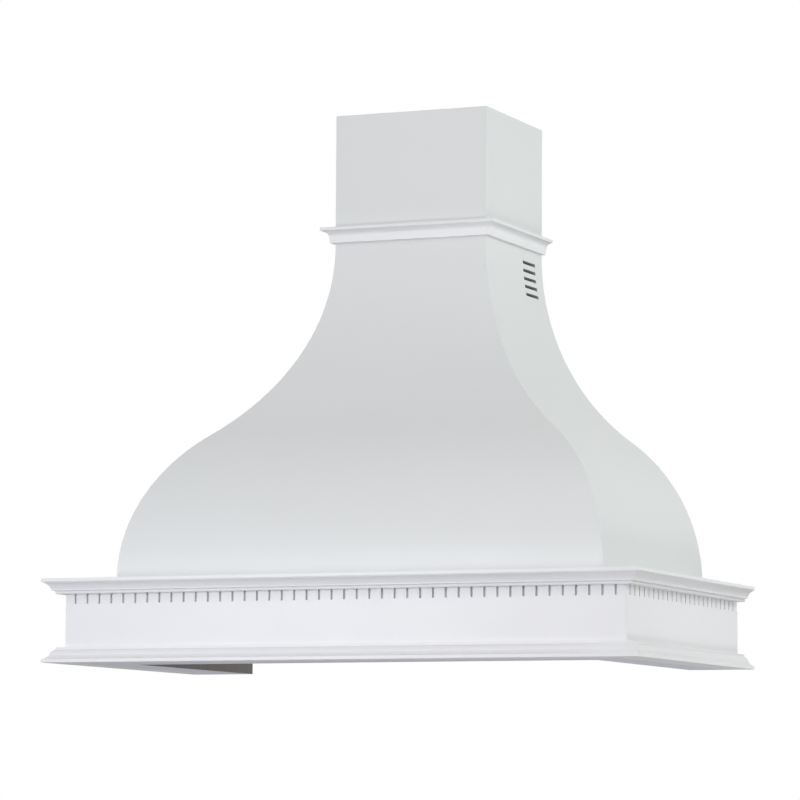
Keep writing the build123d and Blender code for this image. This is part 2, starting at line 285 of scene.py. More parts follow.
def painted(name, coat, raw, gloss=0.36):
    """Satin paint where bare is 0, raw wood fibres where it is 1, painted shade of the slots' walls where
    it is 2.
    """
    finish = Finish(name)
    clouds = finish.noise(4.0)
    peel = finish.noise(520.0, detail=1.0)
    fibres = finish.noise(90.0, (1.0, 1.0, 0.08), 4.0, 0.6)
    shown = finish.attribute("bare")
    bare = shown.maths("MINIMUM", 1.0)
    coat_tone = finish.mix(clouds, shade(coat, 0.975), shade(coat, 1.015))
    # raw wood; where it is fibreboard, its dark tone is partly painted shade
    raw_and_shade_tone = finish.mix(fibres, shade(raw, 0.72), shade(raw, 1.18))
    # a bare number of 2 mixes in the painted shade of the vent slots' walls
    colour = finish.mix(shown - 1.0, finish.mix(bare, coat_tone, raw_and_shade_tone), shade(SLOT_SHADE_TONE))
    roughness = gloss + 0.07 * finish.noise(25.0) + 0.38 * bare
    height = 0.35 * peel + bare * fibres
    return finish.close(colour, roughness, height, 0.06 * MM)


trim_paint = painted("cool_white_satin", (0.792, 0.794, 0.808), SHADED_FIBREBOARD)
panel_paint = painted("grey_white_satin", (0.724, 0.742, 0.742), PLYWOOD)
# the underside's coat is darker and bluer than the trim's: painted shade and a painted blue cast of the
# light from below
underside_shade_paint = painted("underside_satin_painted_shade", (0.684, 0.685, 0.799), SHADED_FIBREBOARD)
print("painted finishes:", trim_paint.name, panel_paint.name, underside_shade_paint.name)

# %% [markdown]
# ## Bare wood and steel
#
# The ribs are cut from birch plywood. Its plies lie crosswise in turn, so their cut edges show light and
# dark bands with a thin glue line between them. A flat picture of wood would have to be wrapped round
# every edge. The pattern here is a solid one: it repeats through the thickness of the board, and a face
# or an edge simply cuts it open.
#
# Rails, soles and battens are planed softwood, whose yearly rings are cylinders about the middle of the
# trunk. The screws are bright zinc.

# %% The bare finishes
PLY = 1.4 * MM                 # thickness of one ply
GRAIN = {0: (0.05, 1.0, 1.0), 1: (1.0, 0.05, 1.0), 2: (1.0, 1.0, 0.05)}


def plywood(name, through):
    """Birch plywood whose plies are stacked along one axis: 0, 1 or 2."""
    finish = Finish(name)
    across = GRAIN[0 if through == 1 else 1]
    stack = finish.along[through] / (2 * PLY) + 40.0
    turn = stack.part()
    end_grain = turn.near(0.47, 0.50) - turn.near(0.97, 1.00)
    glue = (turn < 0.05) + abs(turn - 0.5).near(0.04, 0.0)
    flame = finish.noise(70.0, GRAIN[2], 5.0, 0.62)
    pores = finish.noise(260.0, across, 3.0, 0.6)
    face_tone = finish.mix(flame, shade((0.50, 0.35, 0.19)), shade((0.72, 0.55, 0.35)))
    edge_tone = finish.mix(pores, shade((0.34, 0.21, 0.10)), shade((0.52, 0.36, 0.20)))
    wood = finish.mix(end_grain, face_tone, edge_tone)
    colour = finish.mix(0.55 * glue, wood, shade((0.16, 0.09, 0.04)))
    return finish.close(colour, 0.58 + 0.2 * pores, 0.6 * flame + 0.4 * pores, 0.12 * MM)


def softwood(name, length):
    """Planed pine whose grain runs along one axis, with rings about a pith line outside the board."""
    finish = Finish(name)
    first, second = [finish.along[axis] for axis in range(3) if axis != length]
    wander = 0.012 * finish.noise(5.0, GRAIN[length], 2.0)
    radius = ((first + 0.11) ** 2 + (second + 0.07) ** 2) ** 0.5
    ring = ((radius + wander) / (3.2 * MM)).part()
    late = ring.near(0.35, 0.92) - ring.near(0.94, 1.0)
    fibres = finish.noise(150.0, GRAIN[length], 5.0, 0.65)
    pale = finish.mix(fibres, shade((0.60, 0.42, 0.23)), shade((0.78, 0.60, 0.37)))
    dark = shade((0.46, 0.27, 0.12))
    colour = finish.mix(0.75 * late, pale, dark)
    return finish.close(colour, 0.62 - 0.12 * late, 0.7 * fibres + 0.3 * late, 0.15 * MM)


def zinc(name):
    """Bright zinc: metal with faint cloudy patches in tone and polish."""
    finish = Finish(name)
    clouds = finish.noise(400.0, detail=3.0)
    colour = finish.mix(clouds, shade((0.60, 0.60, 0.58)), shade((0.78, 0.77, 0.72)))
    return finish.close(colour, 0.24 + 0.22 * clouds, clouds, 0.03 * MM, metallic=1.0)


ply_through_x = plywood("birch_plies_across", 0)
ply_through_y = plywood("birch_plies_deep", 1)
ply_through_z = plywood("birch_plies_level", 2)
pine_along_x = softwood("pine_lengthwise", 0)
pine_along_y = softwood("pine_deepwise", 1)
pine_upright = softwood("pine_upright", 2)
bright_zinc = zinc("bright_zinc")
print("materials:", len(bpy.data.materials))

# %% [markdown]
# ## Mouldings: an outline carried round the box
#
# A moulding is milled as a straight length and cut at 45 degrees for each corner, so the piece is one
# outline carried along a path. A curve with a bevel object could carry it too, but it wouldn't end in a
# clean mitre, so the points are worked out. The outline is drawn in (out, z): `out` is how far a point
# stands out from the board behind. Real arrises are sanded before painting, so every marked corner of
# the outline becomes a small curve between two holding lines.

# %% Drawing outlines
def line_to(*points):
    """Corners of an outline, each marked as an arris to ease."""
    return [(x * MM, z * MM, True) for x, z in points]


def arc_about(centre, radius, start, stop, steps):
    """A circular arc: centre + radius times (cos, sin) of angles from start to stop, in degrees.

    Only its two ends are marked as arrises.
    """
    angles = np.radians(np.linspace(start, stop, steps + 1))
    x, z = centre[0] + radius * np.cos(angles), centre[1] + radius * np.sin(angles)
    marks = [i in (0, steps) for i in range(steps + 1)]
    return list(zip(x * MM, z * MM, marks))


def arc_between(start, end, radius, steps, hollow):
    """The shorter arc of this radius from start to end.

    Its centre lies on the wood's side, or on the air's side if it is hollow.
    """
    first, last = np.array(start, float), np.array(end, float)
    chord = last - first
    length = np.linalg.norm(chord)
    normal = np.array([chord[1], -chord[0]]) / length
    normal = -normal if hollow else normal
    centre = (first + last) / 2 + normal * np.sqrt(radius**2 - length**2 / 4)
    angles = [np.degrees(np.arctan2(*(point - centre)[::-1])) for point in (first, last)]
    sweep = (angles[1] - angles[0] + 180) % 360 - 180
    return arc_about(centre, radius, angles[0], angles[0] + sweep, steps)


# %% Easing outlines
EDGE_SHARE = 0.48              # the largest part of an edge that one of its corners takes
NEARLY_STRAIGHT = -0.97        # cosine between the two edges at a corner that hardly turns


def ease_outline(corners, ease):
    """Each marked corner P, with unit directions u and v to its neighbours, becomes five points.

    They are P + (ease + HOLD) u, P + ease u, P + ease (u + v) / 4, P + ease v and P + (ease + HOLD) v.
    On an edge too short for both its corners, ease and HOLD shrink together to EDGE_SHARE of its length.
    A corner that hardly turns stays one point.
    """
    points = np.array([(x, z) for x, z, _ in corners])
    marked = np.array([mark for _, _, mark in corners])
    back = np.roll(points, 1, axis=0) - points
    ahead = np.roll(points, -1, axis=0) - points
    lengths = [np.linalg.norm(way, axis=1, keepdims=True) for way in (back, ahead)]
    u, v = [way / length for way, length in zip((back, ahead), lengths)]
    fits = [np.minimum(1.0, EDGE_SHARE * length / (ease + HOLD)) for length in lengths]
    straight = np.sum(u * v, axis=1) < NEARLY_STRAIGHT
    u, v = u * fits[0], v * fits[1]
    rounded = points[:, None] + np.stack(
        [(ease + HOLD) * u, ease * u, ease * (u + v) / 4, ease * v, (ease + HOLD) * v], axis=1)
    return np.concatenate([curve if mark else point[None] for curve, point, mark in
                           zip(rounded, points, marked & ~straight)])


# %% [markdown]
# ### Turning the corner
#
# On the front a point of the outline sits at (x, front - out), on the right-hand side at
# (half + out, y). The two meet in the mitre. A painted corner is never a razor edge, so each line of the
# outline turns through the corner on a tiny arc, and each of the two lengths has half of it.

# %% Carrying an outline
def corner_arc(outline, half, front, turn, start, stop):
    """Rows of points where the right-hand corner turns: centre + turn times (sin a, -cos a).

    The centre is the outline's corner (half + out, front - out) moved by (-turn, +turn).
    """
    out = outline[:, 0]
    angle = np.radians(np.linspace(start, stop, 4))[:, None]
    x = half + out - turn + turn * np.sin(angle)
    y = front - out + turn - turn * np.cos(angle)
    return np.stack([x + 0 * out, y + 0 * out, np.broadcast_to(outline[:, 1], x.shape)], axis=-1)


def carry_front(outline, half, front, turn, stations=(), sink=None):
    """Front length: corner arc, straight rows at the stations, corner arc. sink moves points inwards.

    A line of the outline that turns the corner before a station waits there, so no row passes the mitre.
    """
    right = corner_arc(outline, half, front, turn, 0, 45)
    hold = right[:1] - [HOLD, 0, 0]
    left = np.concatenate([hold, right])[::-1] * [-1, 1, 1]
    rows = np.repeat(right[:1], len(stations), axis=0)
    if len(stations):
        rows[..., 0] = np.clip(np.array(stations)[:, None], -hold[..., 0], hold[..., 0])
        rows[..., 1] += sink
    return np.concatenate([left, rows, hold, right])


def carry_side(outline, half, front, turn, stations=(), sink=None):
    """Right-hand length: half the corner arc, straight rows at the stations, and the wall."""
    corner = corner_arc(outline, half, front, turn, 45, 90)
    hold = corner[-1:] + [0, HOLD, 0]
    rows = np.repeat(corner[-1:], len(stations), axis=0)
    if len(stations):
        rows[..., 1] = np.maximum(np.array(stations)[:, None], hold[..., 1])
        rows[..., 0] -= sink
    straight = np.concatenate([hold, rows])
    end = straight[-1:] * [1, 0, 1] + [0, wall, 0]
    return np.concatenate([corner, straight, end])


# %% The three lengths of a frame
def frame_of(family, suffix, outline, box, turn, coat, bare, front_cuts=None, side_cuts=None):
    """The front, right and left lengths of one frame round a box, which is its half width and its front.

    coat is the paint and a slot name that is not used, and bare holds a number for each line of the
    outline.
    """
    for side in ("front", "right", "left"):
        if side == "front":
            points = carry_front(outline, *box, turn, *(front_cuts or ()))
        else:
            points = carry_side(outline, *box, turn, *(side_cuts or ()))
            points = points * [-1, 1, 1] if side == "left" else points
        rows, count = points.shape[:2]
        quads = grid_quads(rows, count, closed=True)
        caps = [list(range(count)), list(range((rows - 1) * count, rows * count))]
        shown = np.concatenate([np.tile(bare, rows - 1), [1.0, 1.0]])
        node_name = family + "_" + side
        add_piece(node_name + "_" + suffix, node_name, points, quads.tolist() + caps, *coat, shown)
    print(family, "outline of", len(outline), "points")


def bare_lines(outline, limit):
    """1 for each line of the outline that lies further in than limit, as the hidden back does, else 0."""
    middle = (outline[:, 0] + np.roll(outline[:, 0], -1)) / 2
    return (middle < limit).astype(float)


# %% [markdown]
# ## Base moulding
#
# It wraps the foot of the band: a flat ledge, a round shoulder, a hollow and a square toe. The underside
# of the band is flush with it. Its two curves could be drawn point by point, but a cutter shapes them as
# arcs, and an arc needs only its ends, its radius and the side that its centre lies on.

# %% Base moulding
ARRIS = 0.35 * MM              # easing of the mouldings, along and round their corners
HIDDEN = 0.01 * MM             # a line of the outline further in than this lies against the board
TRIM = (trim_paint, "painted_trim")
band_box = (band_half, band_front)
base_height = sides("base_moulding_front")[2][1] / MM
toe_out = (band_front - sides("base_moulding_front")[1][0]) / MM
ledge_out = 10.2
base_step = 1.2
fillet_z = base_height - 3.3
shoulder = (ledge_out + base_step + 5.5, fillet_z - 7.8)
hollow_foot = (toe_out - 1.1, 5.0)
base_outline = ease_outline(
    line_to((0, 0), (0, base_height), (ledge_out, base_height), (ledge_out, fillet_z))
    + arc_between((ledge_out + base_step, fillet_z), shoulder, 12.0, 10, False)
    + arc_between(shoulder, hollow_foot, 14.0, 10, True)[1:]
    + line_to((toe_out, hollow_foot[1]), (toe_out, 0)), ARRIS)
frame_of("base_moulding", "length", base_outline, band_box, ARRIS, TRIM,
         bare_lines(base_outline, HIDDEN))

# %% [markdown]
# ## Shelf crown
#
# Under the shelf runs the richest moulding: a square fillet, a deep cove, a narrow quirk that draws a
# dark line, and a small round bead from which the row of saw kerfs hangs. The line could be a stripe in
# the paint, but a real groove has the right shadow from every side.

# %% Shelf crown
crown_top = deck_top / MM
crown_out = (band_front - sides("shelf_crown_front")[1][0]) / MM
crown_bottom = sides("shelf_crown_front")[2][0] / MM
fillet_foot = (crown_out, crown_top - 4.8)
riser_out = crown_out - 2.3
cove_start = (riser_out, fillet_foot[1] - 1.2)
cove_end = (crown_out - 11.3, fillet_foot[1] - 11.2)
lip_z = cove_end[1] - 1.2
bead_start = (11.0, crown_bottom + 4.2)
bead_end = (10.7, crown_bottom)
crown_outline = ease_outline(
    line_to((0, crown_bottom), (0, crown_top), (crown_out, crown_top), fillet_foot,
            (riser_out, fillet_foot[1]))
    + arc_between(cove_start, cove_end, 14.0, 14, True)
    + line_to((cove_end[0], lip_z))
    + arc_between(bead_start, bead_end, 4.0, 8, False), ARRIS)
frame_of("shelf_crown", "length", crown_outline, band_box, ARRIS, TRIM,
         bare_lines(crown_outline, HIDDEN))

# %% [markdown]
# ## Collar
#
# The collar hides the joint between the bell and the chimney: a fillet over a cove over a plain band. Its
# cove is a quarter circle. It is carried like the two mouldings below it, round the chimney's box in
# place of the band's, so an outline is all that it needs.

# %% Collar moulding
(_, _), (collar_front, _), (collar_bottom, collar_top) = sides("collar_moulding_front")
chimney_box = (chimney_half, chimney_front)
collar_out = (chimney_front - collar_front) / MM
collar_step = 1.4
collar_cove = 9.2
collar_taper = 1.2
collar_fillet_z = collar_top / MM - 4.8
collar_bed = collar_out - collar_step - collar_cove
collar_outline = ease_outline(
    line_to((0, collar_bottom / MM), (0, collar_top / MM), (collar_out, collar_top / MM),
            (collar_out, collar_fillet_z))
    + arc_about((collar_out - collar_step, collar_fillet_z - collar_cove), collar_cove, 90, 180, 12)
    + line_to((collar_bed - collar_taper, collar_bottom / MM)), ARRIS)
frame_of("collar_moulding", "length", collar_outline, chimney_box, ARRIS, TRIM,
         bare_lines(collar_outline, HIDDEN))

# %% [markdown]
# ## The frieze and its saw kerfs
#
# The row of short lines under the bead is made in the simplest way there is: the board is passed over a
# saw again and again, and each pass leaves a narrow slot. The crown then covers the open ends.
#
# A Boolean modifier could cut the slots, but it leaves long thin faces beside each. Here the board is
# carried like a moulding, and the kerfs are a second field on the same grid. Station i along the board
# has a share a(i) of the full depth, line j of the outline a share b(j), and the point sinks by depth
# times the smaller of the two. Two stations in one place, with different shares, make a wall square to
# the face.

# %% Frieze boards
kerf_pitch = 19.3 * MM
kerf_width = 3.2 * MM
kerf_depth = 4.0 * MM
kerf_length = 14 * MM
kerf_bottom = crown_bottom * MM - kerf_length
kerf_ease = 0.3 * MM
board_corner = 0.9 * MM
end_margin = 16 * MM           # least room from a corner to the middle of a kerf in front
corner_margin = 10 * MM        # the same on a side board
wall_margin = 1.5 * MM         # from the middle of the last kerf to the wall
board = sides("frieze_right")[0][1] - sides("frieze_right")[0][0]
face_lines = [(0, 0, 0.0), (0, kerf_bottom - kerf_ease, 0.0), (0, kerf_bottom, kerf_ease / kerf_depth),
              (0, kerf_bottom, 1.0), (0, deck_bottom, 1.0), (-board, deck_bottom, 0.0), (-board, 0, 0.0)]
frieze_outline = np.array([(out, z) for out, z, _ in face_lines])
line_share = np.array([share for _, _, share in face_lines])


def kerf_field(middles, board_end):
    """Stations along the board, six to a kerf, and how far each point of each station sinks.

    A kerf across the board's end loses the stations past it, and so it runs out there.
    """
    reach = kerf_width / 2 + np.array([kerf_ease, 0, 0])
    stations = (middles[:, None] + np.concatenate([-reach, reach[::-1]])).ravel()
    shares = [0.0, kerf_ease / kerf_depth, 1.0]
    station_share = np.tile(shares + shares[::-1], len(middles))
    kept = stations < board_end
    return stations[kept], kerf_depth * np.minimum(station_share[kept, None], line_share)


front_steps = int(2 * (band_half - end_margin) / kerf_pitch)
front_middles = (np.arange(front_steps + 1) - front_steps / 2) * kerf_pitch
last_middle = wall - wall_margin
side_steps = int((last_middle - band_front - corner_margin) / kerf_pitch)
side_middles = last_middle - np.arange(side_steps, -1, -1) * kerf_pitch
frieze_bare = np.array([0, 0, 0, 0, 1, 1, 0.0])
frame_of("frieze", "board", frieze_outline, band_box, board_corner, TRIM, frieze_bare,
         kerf_field(front_middles, band_half), kerf_field(side_middles, wall))
print("kerfs:", len(front_middles), "in front and", len(side_middles), "on each side")

# %% [markdown]
# ## Chimney boards
#
# Three plain boards, mitred like the rest. Bevelled boxes would look much the same, but an outline that is
# carried round gives the mitres as well. Their arrises are eased a little more than the mouldings',
# because hands and sandpaper reach them.

# %% Chimney
chimney_board = sides("chimney_right")[0][1] - sides("chimney_right")[0][0]
chimney_ease = 0.5 * MM
chimney_corner = 0.8 * MM
chimney_outline = ease_outline(
    [(0, bell_top, False), (0, chimney_top, True), (-chimney_board, chimney_top, True),
     (-chimney_board, bell_top, False)], chimney_ease)
PANEL = (panel_paint, "painted_panel")
frame_of("chimney", "board", chimney_outline, chimney_box, chimney_corner, PANEL,
         bare_lines(chimney_outline, -0.7 * chimney_board))

# %% [markdown]
# ## The bell's curve
#
# The bell is the hard part of the job. Its outline is an ogee: a round belly that turns into a hollow
# neck without a kink. A Bezier curve could be bent by eye until it looks right, but two circular arcs do
# it with less to guess. If both turn through the same angle, the slope where they meet is the same, and
# that angle follows from the run and the height: bend = 2 atan(run / height).
#
# The front and the sides have the same height and different runs, so their arcs differ, and where the
# two surfaces meet they leave a curved hip.

# %% The ogee as a function of height
upright_foot = 2.8 * MM        # the skins stand upright for this much before they bend
curve_low = deck_top + upright_foot
belly = 215.1 * MM
neck = 286.9 * MM
curve_high = curve_low + belly + neck


def bend_of(reach):
    """The angle through which each of the two arcs turns."""
    return 2 * np.arctan((reach[0] - reach[1]) / (belly + neck))


def ogee(z, reach, inset=0.0):
    """How far the bell stands out at height z, moved in square to its surface by inset.

    Belly: foot - R1 + sqrt((R1 - inset)^2 - (z - curve_low)^2), with R1 = belly / sin(bend).
    Neck: top + R2 - sqrt((R2 + inset)^2 - (curve_high - z)^2), with R2 = neck / sin(bend).
    """
    foot, top = reach
    sine = np.sin(bend_of(reach))
    belly_radius, neck_radius = belly / sine, neck / sine
    rise = np.clip(z - curve_low, 0, (belly_radius - inset) * sine)
    fall = np.clip(curve_high - z, 0, (neck_radius + inset) * sine)
    round_part = foot - belly_radius + np.sqrt((belly_radius - inset) ** 2 - rise**2)
    hollow_part = top + neck_radius - np.sqrt((neck_radius + inset) ** 2 - fall**2)
    return np.where(z < curve_low + (belly_radius - inset) * sine, round_part, hollow_part)


def bell_heights(low, high, steps=44):
    """Heights from low to high at equal turns a of the arcs, closer together where the bell leans most.

    They are curve_low + belly sin a / sin bend, and above that curve_high - neck sin a / sin bend.
    """
    bend = bend_of(side_reach)
    turns = np.sin(np.linspace(0, bend, steps + 1)) / np.sin(bend)
    every = np.concatenate([curve_low + belly * turns, curve_high - neck * turns[-2::-1]])
    return np.concatenate([[low], every[(every > low + MM) & (every < high - MM)], [high]])


side_bend, front_bend = np.degrees([bend_of(side_reach), bend_of(front_reach)]).round(1)
print("arcs turn", side_bend, "degrees at the sides and", front_bend, "in front")


# %% [markdown]
# ## Towers of rectangles
#
# Cut the bell at any height and each piece of it is a plain rectangle: a skin, a rib, a batten. A lattice
# could bend straight boards to the bell's form, but it would stretch them on the way. So each piece is a
# tower, described by a function that gives the four sides of its slice at height z. The corners of each
# slice are rounded, and so are the top and bottom rims.

# %% Towers
CORNER_SIGNS = np.array([(1, 1), (-1, 1), (-1, -1), (1, -1)])


def rounded_slices(x, y, ease):
    """Rings of points round rectangles x[0]..x[1], y[0]..y[1], one for each row.

    A corner is centre + ease (cos a, sin a) over a quarter turn, between two holding points. On a narrow
    slice ease is 0.3 of the shorter side.
    """
    rings = []
    for (sign_x, sign_y), radius, start in zip(CORNER_SIGNS, ease, (0, 90, 180, 270)):
        radius = np.minimum(radius, 0.3 * np.minimum(x[1] - x[0], y[1] - y[0]))
        corner_x = x[1] - radius if sign_x > 0 else x[0] + radius
        corner_y = y[1] - radius if sign_y > 0 else y[0] + radius
        angle = np.radians(start + np.array([0, 0, 30, 60, 90, 90]))
        slide = np.minimum(HOLD, 0.5 * radius)[:, None] * np.array([-1, 0, 0, 0, 0, 1])
        ring_x = corner_x[:, None] + radius[:, None] * np.cos(angle) - slide * np.sin(angle)
        ring_y = corner_y[:, None] + radius[:, None] * np.sin(angle) + slide * np.cos(angle)
        rings.append(np.stack([ring_x, ring_y], axis=-1))
    return np.concatenate(rings, axis=1)


def tower(heights, slice_at, ease, rim=0.4 * MM):
    """Points and faces of a closed tower. slice_at(z) gives (x_low, x_high), (y_low, y_high)."""
    inset = np.array([rim + HOLD, rim, 0.3 * rim, 0, 0])
    rise = np.array([0, 0, 0.3 * rim, rim, rim + HOLD])
    middle = heights[1:-1]
    z = np.concatenate([heights[0] + rise, middle, heights[-1] - rise[::-1]])
    shrink = np.concatenate([inset, 0 * middle, inset[::-1]])
    x, y = slice_at(z)
    x = (x[0] + shrink + 0 * z, x[1] - shrink + 0 * z)
    y = (y[0] + shrink + 0 * z, y[1] - shrink + 0 * z)
    rings = rounded_slices(x, y, ease)
    count = rings.shape[1]
    points = np.concatenate([rings, np.broadcast_to(z[:, None, None], rings.shape[:2] + (1,))], axis=-1)
    quads = grid_quads(len(z), count, closed=True).tolist()
    caps = [list(range(count)), list(range((len(z) - 1) * count, len(z) * count))]
    return points, quads + caps


def add_tower(name, node_name, heights, slice_at, material, slot, ease=(0.5 * MM,) * 4, bare=None):
    """A tower as a finished piece. bare(middles) may give a number for each face from its middle."""
    points, faces = tower(heights, slice_at, ease)
    flat = points.reshape(-1, 3)
    middles = np.array([flat[face].mean(axis=0) for face in faces])
    return add_piece(name, node_name, points, faces, material, slot, bare(middles) if bare else None)


# %% [markdown]
# ### The front skin
#
# The front skin laps over the edges of the two side skins. Its own two edges are cut to the side's ogee
# and sanded to the curved hip, so they take a slightly larger easing; the corner behind, against the
# side skin, is filled and painted over, and stays closed.

# %% Front skin
skin = 8 * MM
CLOSED = 0.02 * MM
HIP = 1.1 * MM


def front_slice(z):
    """From hip to hip, and from the front's curve to the same curve moved in by the skin."""
    reach = ogee(z, side_reach)
    return (-reach, reach), (wall - ogee(z, front_reach), wall - ogee(z, front_reach, skin))


def behind_front(middles):
    """1 where a face lies more than 0.9 of a skin behind the front's curve."""
    depth = wall - middles[:, 1]
    return (depth < ogee(middles[:, 2], front_reach, 0.9 * skin)).astype(float)


bell_rows = bell_heights(deck_top, bell_top, 60)
add_tower("bell_front_skin", "bell_front", bell_rows, front_slice, panel_paint, "painted_panel",
          (CLOSED, CLOSED, HIP, HIP), behind_front)
print("front skin:", len(bell_rows), "rows")

# %% [markdown]
# ### The side skins and their vent slots
#
# Each side skin runs from the wall to the back of the front skin. Near the top, by the wall, five level
# slots let air out. A Boolean would leave thin triangles that shade badly on a curved skin. So the grid
# gets a row at each slot's lower and upper edge and a column at each of its ends; the quads inside are
# left out, outside and inside alike, and four small walls join the two holes.

# %% Side skins
slot_length = 50 * MM
slot_height = 4.8 * MM
slot_pitch = 12.2 * MM
slot_wall_gap = 29.5 * MM
slot_top_drop = 25 * MM
row_gap = 1.2 * MM             # rows nearer than this to a slot's edge are left out
slot_middles = bell_top - slot_top_drop - slot_pitch * np.arange(5)
slot_edges = np.sort(np.concatenate([slot_middles - slot_height / 2, slot_middles + slot_height / 2]))
plain_rows = bell_rows[np.min(np.abs(bell_rows[:, None] - slot_edges), axis=1) > row_gap]
side_rows = np.sort(np.concatenate([plain_rows, slot_edges]))


def side_points():
    """Right-hand skin: columns at the wall, the slots' ends and the front, outside and then inside."""
    z = side_rows
    outer, inner = ogee(z, side_reach), ogee(z, side_reach, skin)
    front = ogee(z, front_reach, skin)
    depths = [0 * z, 0 * z + slot_wall_gap, 0 * z + slot_wall_gap + slot_length, front]
    x = np.stack([outer] * 4 + [inner] * 4, axis=1)
    y = wall - np.stack(depths + depths[::-1], axis=1)
    return np.stack([x, y, np.broadcast_to(z[:, None], x.shape)], axis=-1)


def side_faces():
    """Quads round the skin without the slots' openings, their walls, and how bare each face is."""
    rows = len(side_rows)
    middle = (side_rows[1:] + side_rows[:-1]) / 2
    in_slot = np.any(np.abs(middle[:, None] - slot_middles) < slot_height / 2, axis=1)
    column = np.tile(np.arange(8), rows - 1)
    cut = np.repeat(in_slot, 8) & np.isin(column, (1, 5))
    quads = grid_quads(rows, 8, closed=True)[~cut]
    bare = np.isin(column, (3, 4, 5, 6, 7))[~cut].astype(float)
    walls = []
    for edge in slot_edges:
        row = 8 * int(np.argmin(np.abs(side_rows - edge)))
        turned = edge in slot_middles - slot_height / 2
        ring = [row + 1, row + 2, row + 5, row + 6]
        walls.append(ring if turned else ring[::-1])
    for row in 8 * np.flatnonzero(in_slot):
        walls.append([row + 1, row + 6, row + 14, row + 9])
        walls.append([row + 5, row + 2, row + 10, row + 13])
    caps = [list(range(8)), list(range(8 * rows - 8, 8 * rows))]
    faces = quads.tolist() + walls + caps
    # the slots' walls get the bare number of painted shade
    return faces, np.concatenate([bare, np.full(len(walls), SLOT_SHADE_BARE), [1.0, 1.0]])


skin_faces, skin_bare = side_faces()
for side, sign in (("right", 1), ("left", -1)):
    add_piece("bell_" + side + "_skin", "bell_" + side, side_points() * [sign, 1, 1], skin_faces,
              panel_paint, "painted_panel", skin_bare)
print("vent slots:", len(slot_middles), "in each side skin")

# %% [markdown]
# ## Ribs, soles and hip battens
#
# Inside, ribs cut to the same ogee hold the skins in shape. Each is the strip between the curve moved in
# by the skin and the curve moved in by the skin and the rib's width. A flat outline with a Solidify
# modifier could make one too, but as towers they share the skins' own curve. The short *jack* ribs run
# up to a hip and end against its batten.

# %% The frame inside the bell
rib_width = 34 * MM
batten = 20 * MM
rib_inset = skin + rib_width
hip_inset = skin + batten
jack_gap = 1.2 * MM            # from the tip of a jack rib to the top of its solid


def side_rib(node_name, clip=None):
    """A rib on the right-hand side; clip is the inset of the front curve that it stays behind."""
    _, (back, far), (low, high) = sides(node_name)

    def slice_at(z):
        start = np.maximum(back, wall - ogee(z, front_reach, clip)) if clip else back + 0 * z
        return (ogee(z, side_reach, rib_inset), ogee(z, side_reach, skin)), (start, far)
    return low, high, slice_at


def front_rib(node_name, clip=None):
    """A rib behind the front, to the right of the middle."""
    (low_x, high_x), _, (low, high) = sides(node_name)

    def slice_at(z):
        end = np.minimum(high_x, ogee(z, side_reach, clip)) if clip else high_x + 0 * z
        return (low_x, end), (wall - ogee(z, front_reach, skin), wall - ogee(z, front_reach, rib_inset))
    return low, high, slice_at


def mirrored_slice(slice_at):
    """The same slice on the other side of the middle."""
    def turned(z):
        (low_x, high_x), y = slice_at(z)
        return (-high_x, -low_x), y
    return turned


rib_kinds = {"rear_rib": side_rib("rear_rib_right"), "side_rib": side_rib("side_rib_right"),
             "side_jack_rib": side_rib("side_jack_rib_right", hip_inset),
             "front_rib": front_rib("front_rib_right"),
             "front_jack_rib": front_rib("front_jack_rib_right", hip_inset)}
for kind, (low, high, slice_at) in rib_kinds.items():
    tip = high - (jack_gap if "jack" in kind else 0)
    rows = bell_heights(low, tip)
    material = ply_through_x if "front" in kind else ply_through_y
    add_tower(kind + "_right_ply", kind + "_right", rows, slice_at, material, "birch_plywood")
    add_tower(kind + "_left_ply", kind + "_left", rows, mirrored_slice(slice_at), material, "birch_plywood")
print("rib kinds:", ", ".join(rib_kinds))

# %% [markdown]
# ### Soles and hip battens
#
# The soles lie on the deck. The ribs and battens stand on them, and the feet of the skins stand round
# them. A hip batten fills the corner where the front and the side skin meet. They are towers too: a sole
# is a low one, and a batten one whose slice is the corner between four curves.

# %% Soles and hip battens
sole_low, sole_high = sides("sole_front")[2]
batten_low, batten_high = sides("hip_batten_right")[2]


def hip_slice(z):
    """The corner between two side curves and two front curves."""
    return ((ogee(z, side_reach, hip_inset), ogee(z, side_reach, skin)),
            (wall - ogee(z, front_reach, skin), wall - ogee(z, front_reach, hip_inset)))


def side_sole_slice(z):
    """From the wall to the front sole."""
    return ((ogee(z, side_reach, rib_inset), ogee(z, side_reach, skin)),
            (wall - ogee(z, front_reach, rib_inset), wall + 0 * z))


def front_sole_slice(z):
    """From one side skin to the other."""
    reach = ogee(z, side_reach, skin)
    return (-reach, reach), (wall - ogee(z, front_reach, skin), wall - ogee(z, front_reach, rib_inset))


sole_rows = np.linspace(sole_low, sole_high, 4)
batten_rows = bell_heights(batten_low, batten_high)
add_tower("sole_front_pine", "sole_front", sole_rows, front_sole_slice, pine_along_x, "softwood")
for side, turned in (("right", lambda given: given), ("left", mirrored_slice)):
    add_tower("sole_" + side + "_pine", "sole_" + side, sole_rows, turned(side_sole_slice),
              pine_along_y, "softwood")
    add_tower("hip_batten_" + side + "_pine", "hip_batten_" + side, batten_rows, turned(hip_slice),
              pine_upright, "softwood")
print("hip battens:", len(batten_rows), "rows")

# %% [markdown]
# ## Flat boards and rails
#
# The underside, the deck, the duct board, the rails, the blocks and the chimney's battens are plain
# boards and bars, some with holes and cut-outs that the frame already has. To draw them anew would only
# repeat its numbers. A copy of each is welded, its flat faces are joined up again, and a Bevel modifier
# eases its arrises. Where one shows to the room it is painted, and elsewhere bare.

